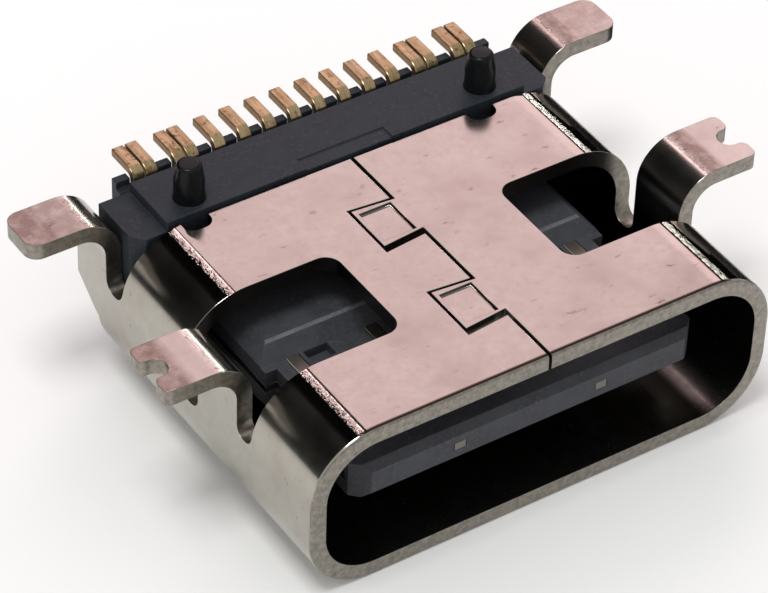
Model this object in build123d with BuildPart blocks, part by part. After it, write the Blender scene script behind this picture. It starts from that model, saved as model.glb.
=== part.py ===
from build123d import *
import os

# A USB-C receptacle for surface mounting, lying with its board side up.
# Millimetres. X runs across the mouth, Y from the mouth to the solder tails, Z up.
# The origin is under the middle of the part, on the face that it lies on.
# Every depth below is counted from the mouth, every height from the resting face.

# Contact grid, which sets the width of the tongue and of the mouth round it
pitch = 0.50
tongue_margin = 0.595       # tongue outside the middle of its outer contacts
plug_room = 0.825           # room for the plug on each side of the tongue
mouth_height = 2.56
mouth_corner = 0.94

# Sheet of the shell
sheet = 0.30
rim_round = 0.06
board_face_length = 5.82
resting_overhang = 0.81     # resting face beyond the board face
rear_edge_low = 0.49        # below mid height, where the rear edge starts to slope back
rear_edge_high = 0.04       # above mid height, where the slope meets the rear leg

# Seam in the board face, held by two dovetail locks
seam_gap = 0.06
lock_pitch = 2.38
lock_offset = 0.03          # middle of the locks behind the middle of the board face
lock_reach = 0.78
lock_root = 0.86
lock_tip = 1.02
lock_play = 0.05
lock_front_play = 0.15
coin_margin = 0.08          # bare rim of a lock round the square pressed into it
coin_depth = 0.05

# Windows that free the front legs, and the slots beside all four legs
bridge_width = 3.24
window_front = 1.78
window_round = 0.28
front_slot = 0.42
deep_slot = 0.52
deep_slot_drop = 0.47
rear_slot = 0.50
slot_flat = 0.06            # flat left between the rounded corners of a slot's floor

# Solder legs of the shell
pad_standoff = 0.20         # solder plane over the board face
leg_bend = 0.45
front_leg_width = 1.20
front_pad_length = 0.83
rear_leg_width = 0.96
rear_pad_length = 0.93
prong_width = 0.39
prong_round = 0.12
fork_straight = 0.15
pad_corner = 0.25

# Notches at the rear edge of the board face
notch_right = 2.57
notch_left = -3.07
notch_width = 0.52
notch_depth = 0.27
notch_flat = 0.12           # flat left between the rounded corners of a notch

# Tongue, built from two wafers with a plate between them
tongue_thick = 0.70
tongue_tip = 0.40
tip_chamfer = 0.13
tip_corner = 0.28
nose_length = 0.36
base_front = 3.55
base_thick = 1.24
chamfer_land = 0.02         # left of the base's step below its side chamfers
plate_thick = 0.15
tie_place = 1.38            # cut ties of the plate in the nose, from the middle
tie_width = 0.22
latch_gap = 0.13            # between the latch notches and the ramp of the base
latch_length = 0.60
latch_depth = 0.22
core_pocket_inset = 0.43    # from the middle of the outer contact
core_pocket_width = 0.46
core_pocket_length = 0.30
core_pocket_depth = 0.18
flange_margin = 0.47

# Rear housing with its raised strip, side blocks, pegs and comb
housing_fit = 0.02          # gap to the shell on every side
housing_gap = 0.06          # gap behind the board face
housing_length = 1.22
housing_wall = 0.22         # wall that the flange of the wafers butts on
block_width = 0.60
block_drop = 0.11
block_chamfer = 0.20
strip_proud = 0.08
peg_edge = 0.66             # from the end of the strip to the middle of the peg
peg_inset = 0.40            # from the front of the strip to the middle of the peg
peg_dia = 0.53
peg_flare = 0.02
peg_foot = 0.11
peg_straight = 0.26
peg_taper = 0.34
peg_top_dia = 0.42
peg_round = 0.06
gate_width = 1.70
gate_length = 0.30
gate_depth = 0.03
comb_length = 0.28
comb_groove = 0.12
comb_groove_depth = 0.14
comb_height = 0.70
comb_drop = 0.02            # comb tops below the strip
comb_play = 0.03
comb_end_rib = 0.27

# Contacts
contact_thick = 0.15
blade_width = 0.25
tail_width = 0.22
blade_play = 0.01
power_inset = 0.19          # tips of the outer contacts behind the nose
signal_setback = 0.50       # tips of the inner contacts behind those
jog_length = 1.90
jog_end = 0.18
contact_bend = 0.08
riser_gap = 0.04
wafer_clear = 0.04
tail_reach = 0.80           # tails beyond the rear of the housing
pair_step = 0.65            # first pair of tails beyond the outer single tail
pair_pitch = 0.80
pair_gap = 0.03

# Sizes that follow from the ones above
tongue_width = 2 * (5.5 * pitch + tongue_margin)
mouth_width = tongue_width + 2 * plug_room
shell_width = mouth_width + 2 * sheet
shell_height = mouth_height + 2 * sheet
fold = mouth_corner + sheet
mid = shell_height / 2
root = shell_height - fold
wall_in = mouth_width / 2
wall_out = shell_width / 2
resting_face_length = board_face_length + resting_overhang
lock_middle = board_face_length / 2 + lock_offset
front_leg_front = window_front + front_slot
front_leg_rear = front_leg_front + front_leg_width
window_rear = front_leg_rear + deep_slot
rear_leg_front = board_face_length + rear_slot
rear_leg_rear = rear_leg_front + rear_leg_width
front_pad_tip = wall_out + leg_bend + front_pad_length
rear_pad_tip = wall_out + leg_bend + rear_pad_length
fork_width = front_leg_width - 2 * prong_width
pad_top = shell_height + pad_standoff
pad_under = pad_top - sheet
nose_rear = tongue_tip + nose_length
base_step = (base_thick - tongue_thick) / 2
base_chamfer = base_step - chamfer_land
ramp_foot = base_front - base_step
latch_middle = ramp_foot - latch_gap - latch_length / 2
core_pocket_x = 5.5 * pitch - core_pocket_inset
housing_front = board_face_length + housing_gap
housing_rear = housing_front + housing_length
flange_front = housing_front + housing_wall
strip_width = mouth_width - 2 * housing_fit - 2 * block_width
strip_top = shell_height + strip_proud
block_top = shell_height - block_drop
peg_spacing = strip_width - 2 * peg_edge
peg_depth = housing_front + peg_inset
riser_front = housing_rear + riser_gap
riser_rear = riser_front + contact_thick
blade_rear = riser_front - contact_bend
wafer_rear = blade_rear - wafer_clear
jog_rear = wafer_rear - jog_end
jog_front = jog_rear - jog_length
tail_tip = housing_rear + tail_reach
pair_near = 3.5 * pitch + pair_step
pair_far = pair_near + pair_pitch
pair_split = tail_width + pair_gap
pair_half = (pair_split + tail_width) / 2
flange_width = 2 * (pair_far + flange_margin)
power_front = nose_rear + power_inset
signal_front = power_front + signal_setback
mouth_y = -tail_tip / 2
beyond = 1.0                # how far cutters reach past the stock
hair = 0.01                 # how near an edge lies to the place it is looked for


def across(depth):
    """Upright plane across the socket, seen from the mouth: local X and Y are X and Z."""
    return Plane((0, mouth_y + depth, 0), x_dir=(1, 0, 0), z_dir=(0, -1, 0))


def along(x):
    """Upright plane along the socket: local X is the depth, local Y the height."""
    return Plane((x, mouth_y, 0), x_dir=(0, 1, 0), z_dir=(1, 0, 0))


def level(height):
    """Flat plane at a height: local X is X, local Y the depth."""
    return Plane((0, mouth_y, height))


def finish(piece, name):
    """Name a finished piece and write it."""
    piece.label = name
    export_step(piece, f"parts/{name}.step")


def lock_outline(middle, front_play, rear_play, tip_play):
    """Dovetail from the right-hand edge of the seam to its tip, grown by the given plays."""
    with BuildLine() as outline:
        Polyline(
            (seam_gap / 2, middle - lock_root / 2 - front_play),
            (-lock_reach - tip_play, middle - lock_tip / 2 - front_play),
            (-lock_reach - tip_play, middle + lock_tip / 2 + rear_play),
            (seam_gap / 2, middle + lock_root / 2 + rear_play),
            close=True,
        )
    make_face(outline.edges())


def leg_section(tip):
    """Sheet of a right-hand leg: up from the side wall, round the bend and out to the pad."""
    turn = pad_under - leg_bend
    with BuildLine() as outline:
        up = Line((wall_in, root), (wall_in, turn))
        over = JernArc(up @ 1, (0, 1), leg_bend + sheet, -90)
        top = Line(over @ 1, (tip, pad_top))
        end = Line(top @ 1, (tip, pad_under))
        under = Line(end @ 1, (wall_out + leg_bend, pad_under))
        back = JernArc(under @ 1, (-1, 0), leg_bend, 90)
        down = Line(back @ 1, (wall_out, root))
        Line(down @ 1, up @ 0)
    make_face(outline.edges())


def insulator_plan(front):
    """Plan of the tongue with its latch notches, and of the wider flange behind it."""
    with Locations((0, (front + flange_front) / 2)):
        Rectangle(tongue_width, flange_front - front)
    with Locations((0, (flange_front + wafer_rear) / 2)):
        Rectangle(flange_width, wafer_rear - flange_front)
    with Locations((0, latch_middle)):
        with GridLocations(tongue_width, 1, 2, 1):
            Rectangle(2 * latch_depth, latch_length, mode=Mode.SUBTRACT)


def plate_ties(play):
    """Plan of the plate's cut ties, which run through the nose to its front face."""
    with Locations((0, (tongue_tip + nose_rear) / 2)):
        with GridLocations(2 * tie_place, 1, 2, 1):
            Rectangle(tie_width + 2 * play, nose_length)


def blade_plan(tongue_x, tail_x, front, rear, play):
    """Plan of a contact from its tip on the tongue to the rear, with its sideways jog."""
    blade = blade_width / 2 + play
    tail = tail_width / 2 + play
    with BuildLine() as outline:
        Polyline(
            (tongue_x - blade, front - play),
            (tongue_x + blade, front - play),
            (tongue_x + blade, jog_front),
            (tail_x + tail, jog_rear),
            (tail_x + tail, rear),
            (tail_x - tail, rear),
            (tail_x - tail, jog_rear),
            (tongue_x - blade, jog_front),
            close=True,
        )
    make_face(outline.edges())


# Contact places on one half of the tongue, from the outside in. Row a lies on the low face
# of the tongue and row b on the high one. The outer two of each row share a solder pad.
tongue_places = (5.5 * pitch, 2.5 * pitch, 1.5 * pitch, 0.5 * pitch)
tip_fronts = (power_front, power_front, signal_front, signal_front)
tail_places = {
    "a": (pair_far + pair_split / 2, pair_near + pair_split / 2, 2.5 * pitch, 0.5 * pitch),
    "b": (pair_far - pair_split / 2, pair_near - pair_split / 2, 3.5 * pitch, 1.5 * pitch),
}
contact_numbers = {
    ("a", 1): (1, 4, 5, 6),
    ("a", -1): (12, 9, 8, 7),
    ("b", 1): (12, 9, 8, 7),
    ("b", -1): (1, 4, 5, 6),
}
blade_bottom = {
    "a": mid - tongue_thick / 2,
    "b": mid + tongue_thick / 2 - contact_thick,
}


def row_contacts(row):
    """Number, place on the tongue, place of the tail and tip depth of each contact in a row."""
    found = []
    for side in (1, -1):
        numbers = contact_numbers[row, side]
        for number, place, tail, front in zip(numbers, tongue_places, tail_places[row], tip_fronts):
            found.append((number, side * place, side * tail, front))
    return found


os.makedirs("parts", exist_ok=True)

# Shell: one folded sheet
with BuildPart() as shell:
    with BuildSketch(across(0)):
        with Locations((0, mid)):
            RectangleRounded(shell_width, shell_height, fold)
            RectangleRounded(mouth_width, mouth_height, mouth_corner, mode=Mode.SUBTRACT)
    extrude(amount=-rear_leg_rear)
    rim = shell.faces().sort_by(Axis.Y)[0].outer_wire().edges()
    fillet(rim, rim_round)

    # Behind the board face nothing stands above the side walls but the rear legs
    with BuildSketch(along(0)):
        with Locations((board_face_length, root)):
            Rectangle(rear_leg_rear, shell_height, align=(Align.MIN, Align.MIN))
    extrude(amount=shell_width, both=True, mode=Mode.SUBTRACT)

    # The lower rear edge slopes forward to the end of the resting face
    with BuildSketch(along(0)):
        with BuildLine():
            Polyline(
                (resting_face_length, -beyond),
                (resting_face_length, mid - rear_edge_low),
                (rear_leg_rear, mid + rear_edge_high),
                (rear_leg_rear + beyond, mid + rear_edge_high),
                (rear_leg_rear + beyond, -beyond),
                close=True,
            )
        make_face()
    extrude(amount=shell_width, both=True, mode=Mode.SUBTRACT)

    # Windows round both corners of the board face, open down to the side walls
    with BuildSketch(level(root)) as windows:
        with Locations((bridge_width / 2, window_front)):
            Rectangle(wall_out, window_rear - window_front, align=(Align.MIN, Align.MIN))
        fillet(windows.vertices().group_by(Axis.X)[0], window_round)
        mirror(about=Plane.YZ)
    extrude(amount=shell_height, mode=Mode.SUBTRACT)

    # The slot behind each front leg runs deeper into the side wall
    with BuildSketch(along(0)):
        with Locations((front_leg_rear, root - deep_slot_drop)):
            Rectangle(window_rear - front_leg_rear, deep_slot_drop, align=(Align.MIN, Align.MIN))
    extrude(amount=shell_width, both=True, mode=Mode.SUBTRACT)

    # Legs
    for leg_front, leg_rear, pad_tip in (
        (front_leg_front, front_leg_rear, front_pad_tip),
        (rear_leg_front, rear_leg_rear, rear_pad_tip),
    ):
        with BuildSketch(across(leg_front)):
            leg_section(pad_tip)
            mirror(about=Plane.YZ)
        extrude(amount=-(leg_rear - leg_front))

    # Fork in the end of each front pad
    with BuildSketch(level(pad_under)):
        with Locations((0, (front_leg_front + front_leg_rear) / 2)):
            with GridLocations(2 * front_pad_tip, 1, 2, 1):
                SlotOverall(fork_width + 2 * fork_straight, fork_width)
    extrude(amount=sheet, mode=Mode.SUBTRACT)
    upright = shell.edges().filter_by(Axis.Z)
    prongs = upright.filter_by(lambda e: abs(abs(e.center().X) - front_pad_tip) < hair)
    fillet(prongs, prong_round)
    upright = shell.edges().filter_by(Axis.Z)
    pads = upright.filter_by(lambda e: abs(abs(e.center().X) - rear_pad_tip) < hair)
    fillet(pads, pad_corner)

    # Rounded floors of the slots beside the legs
    for slot_front, slot_rear, floor in (
        (window_front, front_leg_front, root),
        (front_leg_rear, window_rear, root - deep_slot_drop),
        (board_face_length, rear_leg_front, root),
    ):
        cross = shell.edges().filter_by(Axis.X).filter_by_position(Axis.Z, floor - hair, floor + hair)
        corners = cross.filter_by_position(
            Axis.Y, mouth_y + slot_front - hair, mouth_y + slot_rear + hair
        )
        fillet(corners, (slot_rear - slot_front - slot_flat) / 2)

    # Rounded notches in the rear edge of the board face
    with BuildSketch(level(root)) as notches:
        with Locations((notch_right, board_face_length), (notch_left, board_face_length)):
            Rectangle(notch_width, notch_depth, align=(Align.CENTER, Align.MAX))
        fillet(notches.vertices().group_by(Axis.Y)[0], (notch_width - notch_flat) / 2)
    extrude(amount=shell_height, mode=Mode.SUBTRACT)

    # Seam with its dovetail locks, cut through the board face
    with BuildSketch(level(shell_height)):
        with Locations((0, board_face_length / 2)):
            Rectangle(seam_gap, board_face_length)
        for middle in (lock_middle - lock_pitch / 2, lock_middle + lock_pitch / 2):
            lock_outline(middle, lock_front_play, lock_play, lock_play)
            with BuildSketch(mode=Mode.PRIVATE) as lock:
                lock_outline(middle, 0, 0, 0)
            add(lock.sketch, mode=Mode.SUBTRACT)
    extrude(amount=-sheet, mode=Mode.SUBTRACT)

    # Square pressed into each lock, which spreads it tight
    with BuildSketch(level(shell_height)):
        with Locations((-lock_reach / 2, lock_middle)):
            with GridLocations(1, lock_pitch, 1, 2):
                Rectangle(lock_reach - 2 * coin_margin, lock_root - coin_margin)
    extrude(amount=-coin_depth, mode=Mode.SUBTRACT)
finish(shell.part, "shell")

# Rear housing
with BuildPart() as housing:
    with BuildSketch(across(housing_front)):
        with Locations((0, sheet + housing_fit)):
            Rectangle(
                mouth_width - 2 * housing_fit,
                block_top - sheet - housing_fit,
                align=(Align.CENTER, Align.MIN),
            )
            Rectangle(strip_width, strip_top - sheet - housing_fit, align=(Align.CENTER, Align.MIN))
    extrude(amount=-(housing_rear - housing_front))
    low = housing.edges().filter_by(Axis.Y).group_by(Axis.Z)[0]
    fillet(low, mouth_corner - housing_fit)
    front = housing.faces().sort_by(Axis.Y)[0].edges().filter_by(Axis.Z)
    outer = front.filter_by(lambda e: abs(e.center().X) > strip_width / 2 + housing_fit)
    chamfer(outer, block_chamfer)

    # Passage for the wafers: narrow through the front wall, wide behind it
    with BuildSketch(across(housing_front)):
        with Locations((0, mid)):
            Rectangle(tongue_width + 2 * housing_fit, base_thick + 2 * housing_fit)
    extrude(amount=-housing_rear, mode=Mode.SUBTRACT)
    with BuildSketch(across(flange_front)):
        with Locations((0, mid)):
            Rectangle(flange_width + 2 * housing_fit, base_thick + 2 * housing_fit)
    extrude(amount=-housing_rear, mode=Mode.SUBTRACT)

    # Shallow gate recess at the front of the strip
    with BuildSketch(level(strip_top)):
        with Locations((0, housing_front)):
            Rectangle(gate_width, gate_length, align=(Align.CENTER, Align.MIN))
    extrude(amount=-gate_depth, mode=Mode.SUBTRACT)

    # Locating pegs: a flared foot, a straight shank and a tapered end
    peg_levels = (
        (strip_top, peg_dia + 2 * peg_flare),
        (strip_top + peg_foot, peg_dia),
        (strip_top + peg_foot + peg_straight, peg_dia),
        (strip_top + peg_foot + peg_straight + peg_taper, peg_top_dia),
    )
    for x in (-peg_spacing / 2, peg_spacing / 2):
        for lower, upper in zip(peg_levels[:-1], peg_levels[1:]):
            for height, dia in (lower, upper):
                with BuildSketch(level(height)):
                    with Locations((x, peg_depth)):
                        Circle(dia / 2)
            loft()
    fillet(housing.faces().sort_by(Axis.Z)[-2:].edges(), peg_round)

    # Comb that keeps the solder tails apart
    stations = [(place * pitch, tail_width / 2) for place in (-3.5, -2.5, -1.5, -0.5, 0.5, 1.5, 2.5, 3.5)]
    stations += [(side * place, pair_half) for side in (-1, 1) for place in (pair_near, pair_far)]
    stations.sort()
    comb_end = pair_far + pair_half + comb_play + comb_end_rib
    edges = [-comb_end]
    for centre, half in stations:
        edges += [centre - half - comb_play, centre + half + comb_play]
    edges.append(comb_end)
    comb_top = strip_top - comb_drop
    for left, right in zip(edges[0::2], edges[1::2]):
        with BuildSketch(along((left + right) / 2)):
            with BuildLine():
                Polyline(
                    (housing_rear, comb_top - comb_height),
                    (housing_rear + comb_length, comb_top - comb_height + comb_length),
                    (housing_rear + comb_length, comb_top),
                    (housing_rear + comb_groove, comb_top),
                    (housing_rear + comb_groove, comb_top - comb_groove_depth),
                    (housing_rear, comb_top - comb_groove_depth),
                    close=True,
                )
            make_face()
        extrude(amount=(right - left) / 2, both=True)
finish(housing.part, "housing")

# Wafer of the low row: half of the base and tongue, with the nose of the tongue
low_tongue = mid - tongue_thick / 2
high_tongue = mid + tongue_thick / 2
with BuildPart() as wafer_a:
    with BuildSketch(along(0)):
        with BuildLine():
            Polyline(
                (tongue_tip, low_tongue + tip_chamfer),
                (tongue_tip + tip_chamfer, low_tongue),
                (ramp_foot, low_tongue),
                (base_front, mid - base_thick / 2),
                (wafer_rear, mid - base_thick / 2),
                (wafer_rear, mid - plate_thick / 2),
                (nose_rear, mid - plate_thick / 2),
                (nose_rear, high_tongue),
                (tongue_tip + tip_chamfer, high_tongue),
                (tongue_tip, high_tongue - tip_chamfer),
                close=True,
            )
        make_face()
    extrude(amount=flange_width, both=True)
    with BuildSketch(level(0)) as plan:
        insulator_plan(tongue_tip)
        chamfer(plan.vertices().group_by(Axis.Y)[0], tip_corner)
    extrude(amount=shell_height, mode=Mode.INTERSECT)
    lower = wafer_a.edges().filter_by(Axis.Y).group_by(Axis.Z)[0]
    chamfer(lower.filter_by(lambda e: abs(e.center().X) < flange_width / 2 - housing_fit), base_chamfer)
    with BuildSketch(level(blade_bottom["a"])):
        for number, place, tail, front in row_contacts("a"):
            blade_plan(place, tail, front, wafer_rear + beyond, blade_play)
    extrude(amount=contact_thick, mode=Mode.SUBTRACT)
    with BuildSketch(level(low_tongue)):
        with Locations((0, ramp_foot - core_pocket_length / 2)):
            with GridLocations(2 * core_pocket_x, 1, 2, 1):
                Rectangle(core_pocket_width, core_pocket_length)
    extrude(amount=core_pocket_depth, mode=Mode.SUBTRACT)
    with BuildSketch(level(mid)):
        plate_ties(blade_play)
    extrude(amount=plate_thick / 2, both=True, mode=Mode.SUBTRACT)
finish(wafer_a.part, "wafer_a")

# Wafer of the high row
with BuildPart() as wafer_b:
    with BuildSketch(along(0)):
        with BuildLine():
            Polyline(
                (nose_rear, mid + plate_thick / 2),
                (nose_rear, high_tongue),
                (ramp_foot, high_tongue),
                (base_front, mid + base_thick / 2),
                (wafer_rear, mid + base_thick / 2),
                (wafer_rear, mid + plate_thick / 2),
                close=True,
            )
        make_face()
    extrude(amount=flange_width, both=True)
    with BuildSketch(level(0)):
        insulator_plan(nose_rear)
    extrude(amount=shell_height, mode=Mode.INTERSECT)
    upper = wafer_b.edges().filter_by(Axis.Y).group_by(Axis.Z)[-1]
    chamfer(upper.filter_by(lambda e: abs(e.center().X) < flange_width / 2 - housing_fit), base_chamfer)
    with BuildSketch(level(blade_bottom["b"])):
        for number, place, tail, front in row_contacts("b"):
            blade_plan(place, tail, front, wafer_rear + beyond, blade_play)
    extrude(amount=contact_thick, mode=Mode.SUBTRACT)
    with BuildSketch(level(high_tongue)):
        with Locations((0, ramp_foot - core_pocket_length / 2)):
            with GridLocations(2 * core_pocket_x, 1, 2, 1):
                Rectangle(core_pocket_width, core_pocket_length)
    extrude(amount=-core_pocket_depth, mode=Mode.SUBTRACT)
finish(wafer_b.part, "wafer_b")

# Mid plate between the wafers, its side edges bare where the plug's latches catch
with BuildPart() as mid_plate:
    with BuildSketch(level(mid)):
        insulator_plan(nose_rear)
        plate_ties(0)
    extrude(amount=plate_thick / 2, both=True)
finish(mid_plate.part, "mid_plate")

# Contacts: a flat blade along the tongue, then up behind the housing and out to the tail
for row in ("a", "b"):
    low_side = blade_bottom[row]
    high_side = low_side + contact_thick
    for number, place, tail, front in row_contacts(row):
        with BuildPart() as contact:
            with BuildSketch(level(low_side)):
                blade_plan(place, tail, front, blade_rear, 0)
            extrude(amount=contact_thick)
            with BuildSketch(along(tail)):
                with BuildLine():
                    first = JernArc((blade_rear, low_side), (1, 0), contact_bend + contact_thick, 90)
                    turn = pad_top - contact_thick - contact_bend
                    rise = Line(first @ 1, (riser_rear, turn))
                    inner = JernArc(rise @ 1, (0, 1), contact_bend, -90)
                    below = Line(inner @ 1, (tail_tip, pad_top - contact_thick))
                    tip = Line(below @ 1, (tail_tip, pad_top))
                    above = Line(tip @ 1, (riser_rear + contact_bend, pad_top))
                    outer = JernArc(above @ 1, (-1, 0), contact_bend + contact_thick, 90)
                    fall = Line(outer @ 1, (riser_front, high_side + contact_bend))
                    last = JernArc(fall @ 1, (0, -1), contact_bend, -90)
                    Line(last @ 1, first @ 0)
                make_face()
            extrude(amount=tail_width / 2, both=True)
        finish(contact.part, f"contact_{row}{number}")
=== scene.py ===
import math
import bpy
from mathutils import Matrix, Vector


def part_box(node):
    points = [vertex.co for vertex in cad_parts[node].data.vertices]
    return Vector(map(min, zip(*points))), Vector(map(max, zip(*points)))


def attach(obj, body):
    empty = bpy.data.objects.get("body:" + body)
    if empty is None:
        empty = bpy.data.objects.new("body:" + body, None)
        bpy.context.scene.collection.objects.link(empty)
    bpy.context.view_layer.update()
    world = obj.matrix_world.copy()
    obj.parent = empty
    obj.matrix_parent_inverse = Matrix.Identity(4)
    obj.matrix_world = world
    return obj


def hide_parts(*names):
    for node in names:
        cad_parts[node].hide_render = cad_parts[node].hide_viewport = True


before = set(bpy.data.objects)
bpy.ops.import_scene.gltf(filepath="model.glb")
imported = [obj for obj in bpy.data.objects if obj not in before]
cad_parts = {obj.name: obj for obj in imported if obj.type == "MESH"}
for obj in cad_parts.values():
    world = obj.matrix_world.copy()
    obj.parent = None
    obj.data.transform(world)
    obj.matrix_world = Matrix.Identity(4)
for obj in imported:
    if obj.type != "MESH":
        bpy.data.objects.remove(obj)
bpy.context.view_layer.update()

from types import SimpleNamespace

import bmesh
import bpy
from bpy.props import FloatProperty, FloatVectorProperty, PointerProperty
from mathutils import Matrix, Vector

bl_info = {
    "name": "Board socket",
    "version": (1, 0, 0),
    "blender": (4, 5, 0),
    "location": "View3D > Sidebar > Socket",
    "description": "Dresses a surface-mount plug socket: folded shell, moulded housing and formed contacts",
    "category": "Add Mesh",
}

MM = 0.001
SHELL_LOW, SHELL_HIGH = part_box("shell")
# Place of the mouth and height of the solder pads in the frame, in millimetres
MOUTH = SHELL_LOW.y / MM
SOLDER_PLANE = SHELL_HIGH.z / MM
QUARTER = math.pi / 2
# Points of a mesh that lie nearer than this, in millimetres, are one point
WELD = 0.001
# Edges are rounded where their faces meet at more than these angles, in degrees
CUT_CORNER = 60
MOULDED_CORNER = 35
STRIP_CORNER = 50
# Shading breaks at corners sharper than this angle, in degrees
SHADING_CORNER = 42
# Faces that meet at less than these angles, in degrees, are joined into one
BLANK_FLATNESS = 1
MOULDED_FLATNESS = 0.5


def linear(text):
    """Linear colour of an sRGB hex value such as #C8B0A8."""
    shares = [int(text[i:i + 2], 16) / 255 for i in (1, 3, 5)]
    return tuple(c / 12.92 if c <= 0.04045 else ((c + 0.055) / 1.055) ** 2.4 for c in shares)


def length(name, description, millimetres):
    """Property for a real length, kept in metres."""
    return FloatProperty(
        name=name, description=description, default=millimetres * MM, unit="LENGTH", precision=5
    )


def colour(name, description, text):
    """Property for a surface colour, written as an sRGB hex value."""
    return FloatVectorProperty(
        name=name, description=description, default=linear(text), subtype="COLOR", min=0, max=1
    )


class SocketShellSizes(bpy.types.PropertyGroup):
    """Sizes of the folded sheet, counted from the mouth and from the face that it rests on."""

    sheet: length("Sheet", "Thickness of the sheet", 0.30)
    width: length("Width", "Width over the side walls", 8.94)
    height: length("Height", "Height over both faces", 3.16)
    fold: length("Fold", "Outer radius of the four folds", 1.24)
    die_line: length("Die line", "How far out on a fold the mark of the bending die lies", 0.30)
    die_width: length("Die line width", "Width of that mark", 0.09)
    pad_line: length("Pad line", "The same mark on a leg, counted back from its pad", 0.15)
    edge_break: length("Edge break", "Rounding of the cut edges", 0.022)
    rim_round: length("Rim", "Rounding of the outer edge of the mouth", 0.06)
    board_face: length("Board face", "Depth of the face that lies towards the board", 5.82)
    resting_face: length("Resting face", "Depth of the face that it rests on", 6.63)
    slope_low: length("Slope foot", "Height where the rear edge starts to slope back", 1.09)
    slope_high: length("Slope top", "Height where the rear edge meets the rear leg", 1.62)
    seam: length("Seam", "Gap between the two edges of the seam", 0.06)
    lock_first: length("First lock", "Depth of the front dovetail", 1.75)
    lock_pitch: length("Lock pitch", "Distance between the two dovetails", 2.38)
    lock_reach: length("Lock reach", "How far a dovetail crosses the seam", 0.78)
    lock_root: length("Lock root", "Width of a dovetail at its root", 0.86)
    lock_tip: length("Lock tip", "Width of a dovetail at its tip", 1.02)
    lock_play: length("Lock play", "Gap round a dovetail", 0.05)
    lock_front_play: length("Lock front play", "Gap in front of a dovetail", 0.15)
    coin_margin: length("Coin margin", "Bare rim of a dovetail round the square pressed into it", 0.08)
    coin_depth: length("Coin depth", "Depth of that square", 0.05)
    coin_slope: length("Coin slope", "Lean of the square's sides", 0.02)
    coin_break: length("Coin edge break", "Rounding of the square's edges", 0.008)
    bridge: length("Bridge", "Width left between the two windows", 3.24)
    window_front: length("Window front", "Depth where the windows start", 1.78)
    window_round: length("Window round", "Rounding of the windows' corners", 0.28)
    front_slot: length("Front slot", "Gap in front of a front leg", 0.42)
    deep_slot: length("Deep slot", "Gap behind a front leg", 0.52)
    deep_drop: length("Deep slot drop", "How far that gap runs down the side wall", 0.47)
    rear_slot: length("Rear slot", "Gap in front of a rear leg", 0.50)
    slot_flat: length("Slot flat", "Flat between the rounded corners of a slot", 0.06)
    leg_bend: length("Leg bend", "Inner radius of a leg's bend", 0.45)
    front_leg: length("Front leg", "Width of a front leg", 1.20)
    front_pad: length("Front pad", "Flat length of a front pad", 0.83)
    rear_leg: length("Rear leg", "Width of a rear leg", 0.96)
    rear_pad: length("Rear pad", "Flat length of a rear pad", 0.93)
    pad_corner: length("Pad corner", "Rounding of a rear pad's corners", 0.25)
    prong: length("Prong", "Width of each prong of a forked pad", 0.39)
    prong_round: length("Prong round", "Rounding of the prongs' corners", 0.12)
    fork_straight: length("Fork", "Straight length of the fork", 0.15)
    notch_right: length("Right notch", "Place of the right-hand notch", 2.57)
    notch_left: length("Left notch", "Place of the left-hand notch", -3.07)
    notch_width: length("Notch width", "Width of a notch", 0.52)
    notch_depth: length("Notch depth", "Depth of a notch", 0.27)
    notch_flat: length("Notch flat", "Flat between the rounded corners of a notch", 0.12)


class SocketContactSizes(bpy.types.PropertyGroup):
    """Sizes of the contact strips."""

    pitch: length("Pitch", "Distance between neighbouring contact places", 0.50)
    thickness: length("Thickness", "Thickness of the strip", 0.15)
    blade: length("Blade", "Width on the tongue", 0.25)
    tail: length("Tail", "Width of the solder tail", 0.22)
    bend: length("Bend", "Inner radius of both bends", 0.08)
    edge_break: length("Edge break", "Rounding of the sheared edges", 0.018)
    jog_end: length("Jog end", "From the end of the jog to the first bend", 0.22)
    jog: length("Jog", "Length over which a strip shifts sideways", 1.90)
    pair_step: length("Pair step", "First pair of tails beyond the outer single tail", 0.65)
    pair_pitch: length("Pair pitch", "Distance between two pairs of tails", 0.80)
    pair_gap: length("Pair gap", "Gap between the tails of a pair", 0.03)
    riser_gap: length("Riser gap", "Gap between the housing and the upright of a strip", 0.04)
    housing_rear: length("Housing rear", "Depth of the rear of the housing", 7.10)
    bare_middle: length("Bare middle", "Depth of the middle of the stretch without gold", 4.7)
    bare_length: length("Bare length", "Length of the stretch without gold", 3.9)


class SocketMouldingSizes(bpy.types.PropertyGroup):
    """Sizes of the moulded pieces that the scene finishes."""

    strip_top: length("Strip top", "Height of the raised strip", 3.24)
    edge_break: length("Edge break", "Rounding of the moulded edges", 0.030)
    wafer_break: length("Wafer edge break", "Rounding of the wafers' edges", 0.012)
    ridge_depth: length("Ridge", "Depth of the ridge where the thick base of the tongue begins", 3.55)
    ridge_round: length("Ridge round", "Rounding of that ridge", 0.04)
    peg_spacing: length("Peg spacing", "Distance between the locating pegs", 5.78)
    peg_depth: length("Peg depth", "Depth of the pegs", 6.28)
    peg_foot_width: length("Peg foot", "Diameter at the foot of a peg", 0.57)
    peg_width: length("Peg", "Diameter of a peg's shank", 0.53)
    peg_top_width: length("Peg top", "Diameter at the top of a peg", 0.42)
    peg_foot: length("Foot height", "Height of the flared foot", 0.11)
    peg_shank: length("Shank height", "Height of the straight shank", 0.26)
    peg_taper: length("Taper height", "Height of the tapered end", 0.34)
    peg_round: length("Peg round", "Rounding of a peg's top edge", 0.06)


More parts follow.
